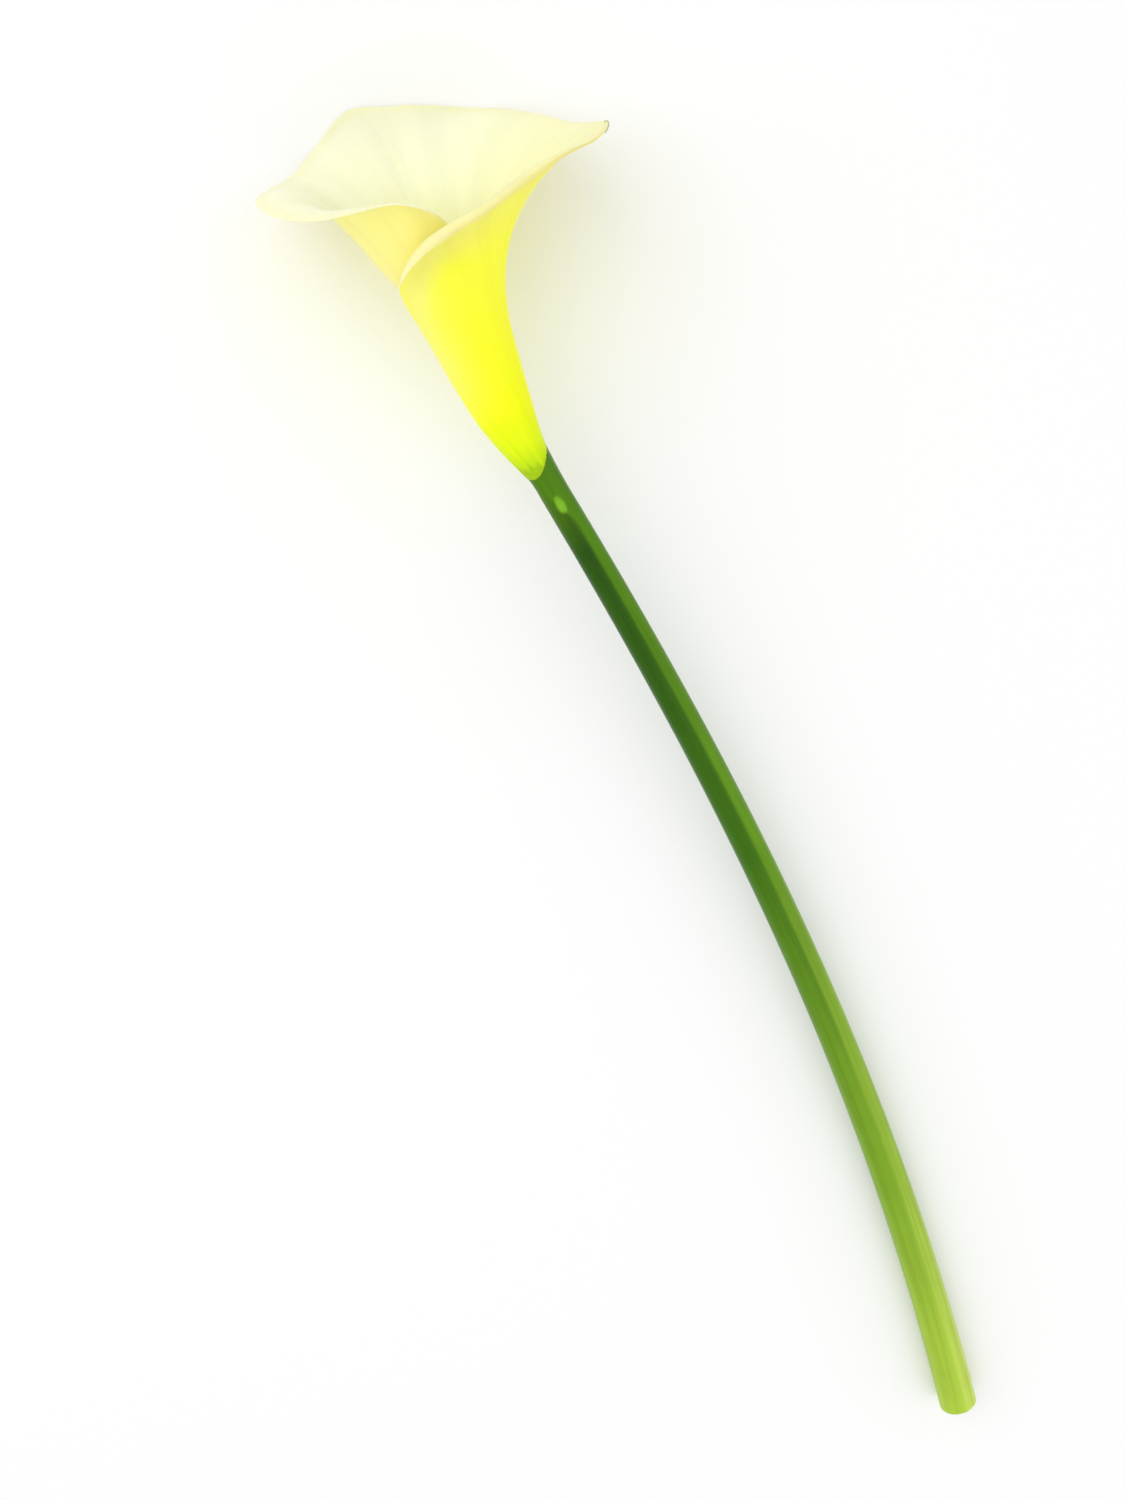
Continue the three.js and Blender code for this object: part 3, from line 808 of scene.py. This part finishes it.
def pollen_material():
    """Dry golden anthers with painted shade between them, dusted with paler pollen."""
    material, tree, skin = living_skin(
        "pollen florets",
        roughness=0.88, specular=0.2, scatter=0.15, scatter_radius=(1.0, 0.6, 0.15),
    )
    skin.inputs["Sheen Weight"].default_value = POLLEN_SHEEN
    cells, blotches = grained(tree, cells=6000.0, blotches=220.0)
    reach = attribute(tree, "reach")
    # Painted shade, by how far out each place stands.
    between = ranged(tree, reach, *ANTHER_GAP_SHADE_REACH, 0.0, ANTHER_GAP_SHADE_SHARE)
    dusted = ranged(tree, blotches, *POLLEN_DUST_RANGE, 0.0, POLLEN_DUST_SHARE)
    colour = mixed(tree, attribute(tree, "tone"), srgb(*ANTHER_DARK), srgb(*ANTHER_LIGHT))
    colour = mixed(tree, between, colour, srgb(*ANTHER_GAP_SHADE))
    colour = mixed(tree, dusted, colour, srgb(*POLLEN_DUST))
    finish_skin(tree, skin, colour, ((cells, *ANTHER_BUMP),))
    return material


random.seed(RANDOM_SEED)
outline = pollen_outline()
pollen = make_core("spadix_pollen", outline)
bpy.ops.mesh.primitive_uv_sphere_add(
    segments=ANTHER_SIDES, ring_count=ANTHER_RINGS, radius=ANTHER_RADIUS * MM,
)
anther = bpy.context.object
anther.data.transform(Matrix.Diagonal((ANTHER_WIDTH, ANTHER_DEPTH, 1.0, 1.0)))
set_reach(anther, ANTHER_RADIUS)
bpy.ops.object.shade_smooth()
plant_zone(pollen, anther, outline, ANTHER_SPACING, ANTHER_ROWS_APART, ANTHER_JITTER)
pollen.data.materials.append(pollen_material())
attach(pollen, "root")
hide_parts("spadix_pollen_florets")
bpy.ops.object.select_all(action="DESELECT")

# Spadix, lower zone: a short rod set with smooth green ovaries, each with a pale stubby style.
# It grows from the neck at the stem's top, inside the spathe's foot.
OVARY_BOTTOM = 8.35
OVARY_TOP = 20.9
OVARY_ROD_RADIUS = 2.85
OVARY_STEPS = 60
OVARY_RADIUS = 0.72
OVARY_SPACING = 1.42
OVARY_ROWS_APART = 1.3
OVARY_JITTER = 0.04
OVARY_SIDES = 10
OVARY_RINGS = 7
STYLE_FOOT = 0.9
STYLE_HEIGHT = 0.2
STYLE_NARROWING = 0.6
STYLE_FLATTENING = 0.4
OVARY_DARK = (118, 158, 52)
OVARY_LIGHT = (158, 190, 84)
OVARY_BUMP = (0.25, 0.08)
# Painted shade in the gaps: the ovaries darken towards their feet, and the rod between them takes
# the same dark green.
OVARY_GAP_SHADE = (84, 124, 34)
OVARY_GAP_SHADE_REACH = (0.6, -0.1)
OVARY_GAP_SHADE_SHARE = 0.7
STYLE_PALE = (232, 230, 170)
STYLE_REACH = (0.95, 1.1)


def make_ovary():
    """A round ovary whose top is drawn out into a short blunt style."""
    bpy.ops.mesh.primitive_uv_sphere_add(
        segments=OVARY_SIDES, ring_count=OVARY_RINGS, radius=OVARY_RADIUS * MM,
    )
    ovary = bpy.context.object
    bpy.ops.object.mode_set(mode="EDIT")
    bpy.ops.mesh.select_all(action="DESELECT")
    bpy.ops.object.mode_set(mode="OBJECT")
    for face in ovary.data.polygons:
        face.select = face.center.z > STYLE_FOOT * OVARY_RADIUS * MM
    bpy.ops.object.mode_set(mode="EDIT")
    bpy.ops.mesh.extrude_region_move(TRANSFORM_OT_translate={"value": (0, 0, STYLE_HEIGHT * MM)})
    bpy.ops.transform.resize(
        value=(STYLE_NARROWING, STYLE_NARROWING, STYLE_FLATTENING),
        center_override=(0, 0, (OVARY_RADIUS + STYLE_HEIGHT) * MM),
    )
    bpy.ops.object.mode_set(mode="OBJECT")
    bpy.ops.object.shade_smooth()
    set_reach(ovary, OVARY_RADIUS)
    return ovary


def ovary_material():
    """Smooth moist green with painted shade between the ovaries, and pale on their styles."""
    material, tree, skin = living_skin(
        "ovaries", roughness=0.38, specular=0.5, scatter=0.4, scatter_radius=(0.5, 0.9, 0.3),
    )
    cells, _ = grained(tree, cells=3000.0, blotches=160.0)
    reach = attribute(tree, "reach")
    # Painted shade, by how far out each place stands.
    between = ranged(tree, reach, *OVARY_GAP_SHADE_REACH, 0.0, OVARY_GAP_SHADE_SHARE)
    colour = mixed(tree, attribute(tree, "tone"), srgb(*OVARY_DARK), srgb(*OVARY_LIGHT))
    colour = mixed(tree, between, colour, srgb(*OVARY_GAP_SHADE))
    colour = mixed(tree, ranged(tree, reach, *STYLE_REACH), colour, srgb(*STYLE_PALE))
    finish_skin(tree, skin, colour, ((cells, *OVARY_BUMP),))
    return material


outline = (
    np.full(OVARY_STEPS, OVARY_ROD_RADIUS),
    np.linspace(OVARY_BOTTOM, OVARY_TOP, OVARY_STEPS),
)
ovaries = make_core("spadix_ovary_zone", outline)
ovary = make_ovary()
plant_zone(ovaries, ovary, outline, OVARY_SPACING, OVARY_ROWS_APART, OVARY_JITTER)
ovaries.data.materials.append(ovary_material())
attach(ovaries, "root")
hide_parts("spadix_ovaries")
bpy.ops.object.select_all(action="DESELECT")

# Stem: one long fleshy scape, smooth and glossy, faintly ridged, deep green under the flower and
# paler towards its cut foot. At its top it widens into the slanting shoulder that the spathe grows
# from, and ends in a short neck that carries the spadix.
STEM_LENGTH = 315
STEM_TOP_RADIUS = 4.05
STEM_FOOT_RADIUS = 5.6
STEM_LEAN_TOP = 9.3
STEM_LEAN_FOOT = -7
STEM_BEND_POWER = 1.3
STEM_RISE_POWER = 1.7
STEM_STEPS = 42
STEM_SIDES = 64
STEM_RINGS = 230
STEM_RIDGES = 3
STEM_RIDGE_SHARE = 0.02
SEAM_ANGLE = 270
KEEL_ANGLE = 74
KEEL_HALF_ANGLE = 12
KEEL_HEIGHT = 0.16
PATH_REACH = 2

# The cut foot is slightly dished, with a rounded edge.
CUT_DISHED = 0.4
CUT_DISH_POWER = 4
CUT_FACE_RINGS = 7
CUT_ROUNDING = 0.35
CUT_EDGE_RINGS = 5
CUT_EDGE_GAP = 1
CUT_FACE_DEPTH = 0.6
CUT_FACE_FACING = 0.75

# The shoulder's rings run up from the stem. The last ones lie below the sheet's foot by the drops
# and within its outside by the insets.
SHOULDER_START = 8
SHOULDER_RINGS = 14
SHOULDER_RADIUS = 5
SHOULDER_WIDENING = 0.18
SHOULDER_DROP = 0.4
SHOULDER_INSET = 0.12
SHOULDER_EDGE = ((0.16, 0.2), (0.1, 0.42))
MARGIN_BLEND = 35

# The neck stands straight for a little way on the slanting shoulder, and then widens up to its
# blunt top, which is given as radius and height.
NECK_RADIUS = 2.2
NECK_FOOT_RISES = (-0.3, 0.2)
NECK_TOP = ((2.8, 7.7), (2.5, 8.0), (0, 8.0))

# A small pale scar lies on the stem's upper side, just under the flower.
SCAR_DISTANCE = 10.4
SCAR_HALF_LENGTH = 2.6
SCAR_HALF_WIDTH = 1.3
SCAR_OFFSET = -0.2
SCAR_HEIGHT = 0.3
SCAR_DEPTH = 2
SCAR_UNEVENNESS = 0.5
SCAR_GRAIN = 1.1

# Painted light and shade: which way the side of the stem that is painted paler, as lit, faces at
# its top and lower down, and the distances from the top that it turns over. The far side is
# painted darker, as shade.
PAINTED_LIGHT_ANGLE_TOP = 32
PAINTED_LIGHT_ANGLE = -12
PAINTED_LIGHT_TURNS = (5, 18)

# The stem's colours down its length, on the side painted as in shade and then on the side painted
# as lit.
STEM_PAINTED_SHADE = (
    (0.0, (82, 130, 0)), (0.03, (70, 112, 0)), (0.08, (40, 84, 0)), (0.4, (62, 114, 0)),
    (0.75, (128, 170, 36)), (1.0, (176, 206, 66)),
)
STEM_PAINTED_LIGHT = (
    (0.0, (80, 132, 4)), (0.12, (84, 134, 10)), (0.4, (104, 154, 20)), (0.75, (156, 192, 56)),
    (1.0, (196, 220, 88)),
)
STEM_ROUGHNESS = (0.26, 0.36)
STEM_LINE_BUMP = (0.4, 0.12)
STEM_LINE_SHADE = 0.88
STEM_GRAIN_BUMP = (0.15, 0.08)
STEM_BLOTCH_SHADE = 0.93
# Where the side painted as lit gives way to the side painted as in shade.
PAINTED_LIGHT_EDGE = (0.45, 0.6)
SCAR_GREEN = (122, 178, 36)
SCAR_GREEN_RANGE = (0.2, 0.65)
SCAR_PALE = (170, 214, 96)
SCAR_PALE_RANGE = (0.7, 1.0)

# The pith's sponge and strands, by how many lie along a metre and where their colours change.
SPONGE_COUNT = 2600.0
SPONGE_RANGE = (0.1, 0.6)
SPONGE_BUMP = (0.5, 0.2)
STRAND_COUNT = 800.0
STRAND_EDGE = (0.24, 0.12)
PITH_PALE = (236, 242, 196)
PITH_DARK = (212, 226, 150)
STRAND = (150, 170, 84)

stem_turns = [SEAM_ANGLE + 360 * i / STEM_SIDES for i in range(STEM_SIDES)]


def stem_path():
    """Rows of the stem's line from its top to its cut foot: the share of its length, x, y, z."""
    place = in_flower(0, 0, FOOT_SHIFT_START) / MM
    top_lift = place.z - STEM_TOP_RADIUS
    rows = []
    for k in range(STEM_STEPS + 1):
        share = k / STEM_STEPS
        lean = math.radians(lerp(STEM_LEAN_TOP, STEM_LEAN_FOOT, share**STEM_BEND_POWER))
        radius = lerp(STEM_TOP_RADIUS, STEM_FOOT_RADIUS, share)
        place.z = radius + top_lift * (1 - share) ** STEM_RISE_POWER
        rows.append((share, *place))
        place.x -= math.cos(lean) * STEM_LENGTH / STEM_STEPS
        place.y -= math.sin(lean) * STEM_LENGTH / STEM_STEPS
    return rows


path = stem_path()


def on_path(distance):
    """The stem's middle at a distance from its top."""
    share = distance / STEM_LENGTH
    return Vector([read_table(path, share, column) for column in (1, 2, 3)]) * MM


def stem_directions(distance):
    """The directions up the stem, across it and out of its upper side."""
    above = on_path(max(distance - PATH_REACH, 0))
    below = on_path(min(distance + PATH_REACH, STEM_LENGTH))
    along = (above - below).normalized()
    side = Vector((0, 0, 1)).cross(along).normalized()
    return along, side, along.cross(side)


def stem_ring(distance, narrower=0.0, dished=0.0):
    """A ring of places round the stem's line, with its ridges and its keel."""
    along, side, up = stem_directions(distance)
    centre = on_path(distance)
    ring = []
    for angle in stem_turns:
        turn = math.radians(angle)
        off_keel = (angle - KEEL_ANGLE + 180) % 360 - 180
        radius = lerp(STEM_TOP_RADIUS, STEM_FOOT_RADIUS, distance / STEM_LENGTH)
        radius *= 1 + STEM_RIDGE_SHARE * math.cos(STEM_RIDGES * turn)
        radius += KEEL_HEIGHT * math.exp(-((off_keel / KEEL_HALF_ANGLE) ** 2))
        outward = (up * math.sin(turn) - side * math.cos(turn)) * max(radius - narrower, 0) * MM
        ring.append(centre + outward + along * dished * MM)
    return ring


def cut_rings():
    """The dished cut face, from its middle outwards, and its rounded edge."""
    cut_radius = STEM_FOOT_RADIUS * (1 + STEM_RIDGE_SHARE)
    rings = []
    for narrower in np.linspace(cut_radius + KEEL_HEIGHT, CUT_ROUNDING, CUT_FACE_RINGS):
        dished = CUT_DISHED * (1 - (1 - narrower / cut_radius) ** CUT_DISH_POWER)
        rings.append(stem_ring(STEM_LENGTH, narrower, max(dished, 0)))
    for turn in np.linspace(0, math.pi / 2, CUT_EDGE_RINGS)[1:]:
        back = CUT_ROUNDING * (1 - math.cos(turn))
        rings.append(stem_ring(STEM_LENGTH - back, CUT_ROUNDING * (1 - math.sin(turn))))
    return rings


def shoulder_place(angle, drop, inset):
    """A place on the slanting shoulder, just within the outside of the sheet's outermost turn."""
    last = EDGE[-1][0] * FOOT_NARROWING
    turned = (angle - last) % 360 + last - 360
    past_margin = smooth(last - 360, last - 360 + MARGIN_BLEND, turned)
    height = foot_height(angle)
    radius = tube_radius(lerp(last, turned, past_margin) / FOOT_NARROWING, height)
    return in_flower(radius + SHEET_THICKNESS / 2 - inset, angle, height - drop)


def shoulder_ring(u, lower):
    """A ring of the shoulder, a share of the way up from the stem's last ring to the sheet."""
    leaving = stem_directions(SHOULDER_START)[0]
    ring = []
    for angle, low in zip(stem_turns, lower):
        high = shoulder_place(angle, SHOULDER_DROP, SHOULDER_INSET)
        widened = in_flower(SHOULDER_RADIUS + SHOULDER_WIDENING, angle, 1)
        arriving = (widened - in_flower(SHOULDER_RADIUS, angle, 0)).normalized()
        reach = (high - low).length
        ring.append(swept(u, low, leaving * reach, high, arriving * reach))
    return ring


def neck_rings():
    """The shoulder's rounded edge, and the neck within the sheet's foot up to its blunt top."""
    rings = [[shoulder_place(angle, *edge) for angle in stem_turns] for edge in SHOULDER_EDGE]
    for rise in NECK_FOOT_RISES:
        heights = [foot_height(angle) + rise for angle in stem_turns]
        rings.append([in_flower(NECK_RADIUS, *place) for place in zip(stem_turns, heights)])
    for radius, height in NECK_TOP:
        rings.append([in_flower(radius, angle, height) for angle in stem_turns])
    return rings


scar_along, scar_side, scar_up = stem_directions(SCAR_DISTANCE)
scar_middle = on_path(SCAR_DISTANCE) + (scar_up * STEM_TOP_RADIUS - scar_side * SCAR_OFFSET) * MM


def scar_share(place):
    """How much a place of the stem belongs to the scar."""
    off = (place - scar_middle) / MM
    if off.dot(scar_up) < -SCAR_DEPTH:
        return 0
    lengthwise = (off.dot(scar_along) / SCAR_HALF_LENGTH) ** 2
    sideways = (off.dot(scar_side) / SCAR_HALF_WIDTH) ** 2
    uneven = 1 + SCAR_UNEVENNESS * noise.noise(off * SCAR_GRAIN)
    return uneven * math.exp(-lengthwise - sideways)


def painted_light_ring(distance):
    """How far each place of a ring faces the stem's side that is painted paler, as lit."""
    middle_angle = lerp(PAINTED_LIGHT_ANGLE_TOP, PAINTED_LIGHT_ANGLE, smooth(*PAINTED_LIGHT_TURNS, distance))
    return [0.5 + 0.5 * math.cos(math.radians(angle - middle_angle)) for angle in stem_turns]


def stem_material():
    """Glossy green skin with a side painted as in shade and a side painted as lit, both paler down
    the stem, and the scar.
    """
    material, tree, skin = living_skin(
        "stem skin", roughness=0.3, specular=0.14, scatter=0.25, scatter_radius=(0.4, 0.9, 0.15),
    )
    fine_lines, lines = streaked(tree, fine=90.0, broad=16.0, lengths=5.0)
    cells, blotches = grained(tree, cells=1600.0, blotches=55.0)
    down = attribute(tree, "down")
    scar = attribute(tree, "scar")
    # Painted light and shade: deep is the side painted as in shade, and light the side painted as
    # lit.
    deep = colour_ramp(tree, down, STEM_PAINTED_SHADE)
    light = colour_ramp(tree, down, STEM_PAINTED_LIGHT)
    painted_light_side = ranged(tree, attribute(tree, "pale"), *PAINTED_LIGHT_EDGE)
    colour = mixed(tree, painted_light_side, deep, light)
    colour = shaded(tree, colour, lines, STEM_LINE_SHADE, blotches, STEM_BLOTCH_SHADE)
    colour = mixed(tree, ranged(tree, scar, *SCAR_GREEN_RANGE), colour, srgb(*SCAR_GREEN))
    colour = mixed(tree, ranged(tree, scar, *SCAR_PALE_RANGE), colour, srgb(*SCAR_PALE))
    finish_skin(tree, skin, colour, ((fine_lines, *STEM_LINE_BUMP), (cells, *STEM_GRAIN_BUMP)))
    roughness = ranged(tree, lines, *NOISE_SPREAD, *STEM_ROUGHNESS)
    tree.links.new(roughness, skin.inputs["Roughness"])
    return material


def from_spots(tree, count):
    """How far each place is from the nearest of many spots, by how many lie along a metre."""
    inputs = {"Vector": new_node(tree, "TexCoord").outputs["Object"], "Scale": count}
    return new_node(tree, "TexVoronoi", inputs, feature="F1").outputs["Distance"]


def pith_material():
    """Pale spongy pith, dotted with the ends of the stem's strands."""
    material, tree, skin = living_skin(
        "cut pith", roughness=0.55, specular=0.5, scatter=0.5, scatter_radius=(0.8, 1.0, 0.6),
    )
    sponge = from_spots(tree, SPONGE_COUNT)
    in_strand = ranged(tree, from_spots(tree, STRAND_COUNT), *STRAND_EDGE)
    colour = mixed(tree, ranged(tree, sponge, *SPONGE_RANGE), srgb(*PITH_PALE), srgb(*PITH_DARK))
    colour = mixed(tree, in_strand, colour, srgb(*STRAND))
    finish_skin(tree, skin, colour, ((sponge, *SPONGE_BUMP),))
    return material


stem_rings = cut_rings()
distances = [STEM_LENGTH] * len(stem_rings)
for distance in np.linspace(STEM_LENGTH - CUT_EDGE_GAP, SHOULDER_START, STEM_RINGS):
    stem_rings.append(stem_ring(distance))
    distances.append(distance)
shoulder_shares = [k / SHOULDER_RINGS for k in range(1, SHOULDER_RINGS + 1)]
stem_rings += [shoulder_ring(share, stem_rings[-1]) for share in shoulder_shares]
distances += [SHOULDER_START * (1 - share) for share in shoulder_shares]
stem_rings += neck_rings()
distances += [0] * (len(stem_rings) - len(distances))

scars = [[scar_share(place) for place in ring] for ring in stem_rings]
raised_rings = [
    [place + scar_up * share * SCAR_HEIGHT * MM for place, share in zip(ring, ring_scars)]
    for ring, ring_scars in zip(stem_rings, scars)
]
stem = wrapped_piece("stem_scape", raised_rings, {
    "down": [[distance / STEM_LENGTH] * STEM_SIDES for distance in distances],
    "scar": scars,
    # How far each place faces the side that is painted as lit.
    "pale": [painted_light_ring(distance) for distance in distances],
})
cut_end = on_path(STEM_LENGTH)
up_stem = stem_directions(STEM_LENGTH)[0]
for face in stem.data.polygons:
    at_end = (face.center - cut_end).dot(up_stem) < CUT_FACE_DEPTH * MM
    face.material_index = int(at_end and face.normal.dot(up_stem) < -CUT_FACE_FACING)
stem.data.materials.append(stem_material())
stem.data.materials.append(pith_material())
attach(stem, "root")
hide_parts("stem")
bpy.ops.object.select_all(action="DESELECT")

# Floor and light: a plain pale table under soft studio light, with its two softboxes. The sizes of
# these are in metres.
TABLE_SIZE = 4
TABLE_GREY = 0.91
TABLE_ROUGHNESS = 0.7
LIT_PLACE = Vector((0.1, 0, 0))
KEY_PLACE = Vector((0.6, 0.5, 0.9))
KEY_WATTS = 4.55
FILL_PLACE = Vector((-0.5, -0.4, 0.8))
FILL_WATTS = 2.1
SOFTBOX_SIZE = 1.3
ROOM_LIGHT = 0.825


def softbox(name, place, watts):
    """A square softbox that faces the flower."""
    bpy.ops.object.light_add(type="AREA", location=place)
    lamp = bpy.context.object
    lamp.name = name
    lamp.data.size = SOFTBOX_SIZE
    lamp.data.energy = watts
    lamp.rotation_euler = (LIT_PLACE - place).to_track_quat("-Z", "Y").to_euler()


bpy.ops.mesh.primitive_plane_add(size=TABLE_SIZE)
floor = bpy.context.object
floor.name = "floor"
tabletop = bpy.data.materials.new("pale table")
tabletop.use_nodes = True
matt_top = tabletop.node_tree.nodes["Principled BSDF"]
matt_top.inputs["Base Color"].default_value = (TABLE_GREY, TABLE_GREY, TABLE_GREY, 1)
matt_top.inputs["Roughness"].default_value = TABLE_ROUGHNESS
floor.data.materials.append(tabletop)
softbox("key softbox", KEY_PLACE, KEY_WATTS)
softbox("fill softbox", FILL_PLACE, FILL_WATTS)
world = bpy.data.worlds.new("studio")
world.use_nodes = True
world.node_tree.nodes["Background"].inputs["Color"].default_value = (1, 1, 1, 1)
world.node_tree.nodes["Background"].inputs["Strength"].default_value = ROOM_LIGHT
bpy.context.scene.world = world
bpy.context.scene.view_settings.view_transform = "Standard"

# Camera: it looks down square to the flower's own axis, as the photograph looks at the standing
# flower, and is turned so that the flower leans to the left and its stem runs to the lower right.
CAMERA_REACH = 437
HEAD_MIDDLE = 50
LEAN_LEFT = math.radians(21.7)
AIM = Vector((0.06, 0.0132, 0.01))
LENS = 39
SHIFT_DOWN = 0.088
bpy.ops.object.camera_add()
camera = bpy.context.object
camera.location = in_flower(CAMERA_REACH, UPWARD, HEAD_MIDDLE)
camera.data.lens = LENS
camera.data.shift_y = -SHIFT_DOWN
forward = (AIM - camera.location).normalized()
image_up = Vector((math.cos(LEAN_LEFT), -math.sin(LEAN_LEFT), 0))
image_right = forward.cross(image_up).normalized()
image_up = image_right.cross(forward)
camera.rotation_euler = Matrix((image_right, image_up, -forward)).transposed().to_euler()
bpy.context.scene.camera = camera
